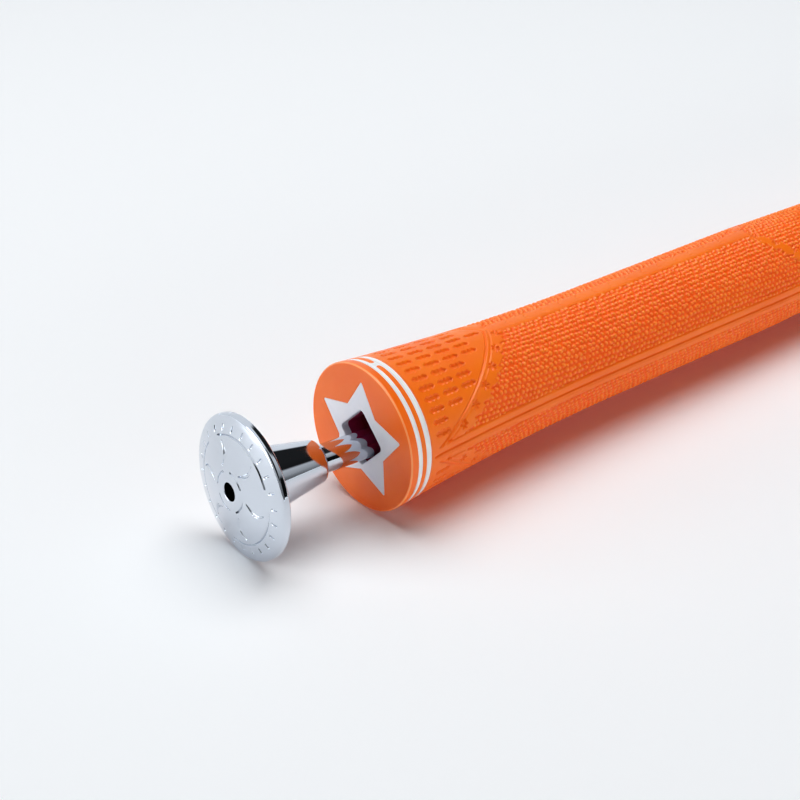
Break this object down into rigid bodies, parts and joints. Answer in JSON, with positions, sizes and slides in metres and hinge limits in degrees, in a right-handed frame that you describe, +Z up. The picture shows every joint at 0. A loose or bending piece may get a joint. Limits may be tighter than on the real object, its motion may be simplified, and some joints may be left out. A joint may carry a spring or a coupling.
{
  "type": "golf club grip with end plug",
  "caption": "Hollow flared rubber club grip with a patterned skin, white rings and a star-marked butt cap, holding a loose chrome plug with a domed head.",
  "frame": {"origin": "centre of the outer face of the butt cap, on the axis of the shaft core", "axes": "+X along the shaft core towards the open mouth, +Z up with the star's top tip and the bar between the rings"},
  "size_m": [0.2977, 0.0313, 0.0313],
  "materials": {
    "orange_rubber": "satin moulded rubber",
    "cap_rubber": "smooth matte rubber",
    "white_rubber": "smooth matte rubber",
    "white_fill": "glossy fill",
    "chrome": "bright chrome"
  },
  "bodies": {
    "grip": {"grip_sleeve": "orange_rubber", "end_cap": "cap_rubber", "star_inlay": "white_rubber", "stripe_band": "white_fill"},
    "stem": {"plug_stem": "chrome"},
    "head": {"marker_disc": "chrome", "plug_hub": "chrome"}
  },
  "joints": [
    {"name": "plug_slide", "type": "slide", "parent": "grip", "child": "stem", "axis": [0.999, -0.0384, -0.0242], "range_m": [-0.03, 0.01]},
    {"name": "head_turn", "type": "hinge", "parent": "stem", "child": "head", "pos_m": [-0.02797, 0.00117, -0.00114], "axis": [0.999, -0.0384, -0.0242], "continuous": true}
  ]
}
